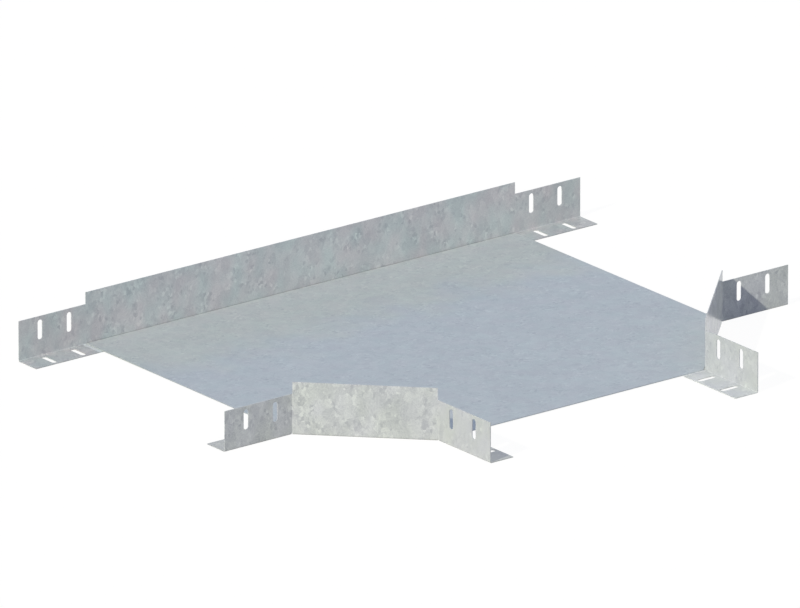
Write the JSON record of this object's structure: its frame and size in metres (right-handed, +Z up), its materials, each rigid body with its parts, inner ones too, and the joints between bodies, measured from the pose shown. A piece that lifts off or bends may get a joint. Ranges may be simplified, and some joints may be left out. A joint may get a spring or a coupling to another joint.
{
  "type": "cable tray tee",
  "caption": "Tee fitting for sheet steel cable tray, with a flat floor, 45 degree inner corners and slotted tabs round each of its mouths.",
  "frame": {"origin": "middle of the bounding box's underside: midway between the two end mouths, and midway between the back rail's outer face and the branch mouth's edge", "axes": "+X along the main run, -Y out along the branch, +Z up out of the open side"},
  "size_m": [0.8496, 0.6266, 0.066],
  "materials": {
    "zinc_coated_sheet": "hot-dip galvanised, fine soft spangle"
  },
  "bodies": {
    "root": {"floor_plate": "zinc_coated_sheet", "back_rail": "zinc_coated_sheet", "left_corner_rail": "zinc_coated_sheet", "right_corner_rail": "zinc_coated_sheet"}
  },
  "joints": []
}
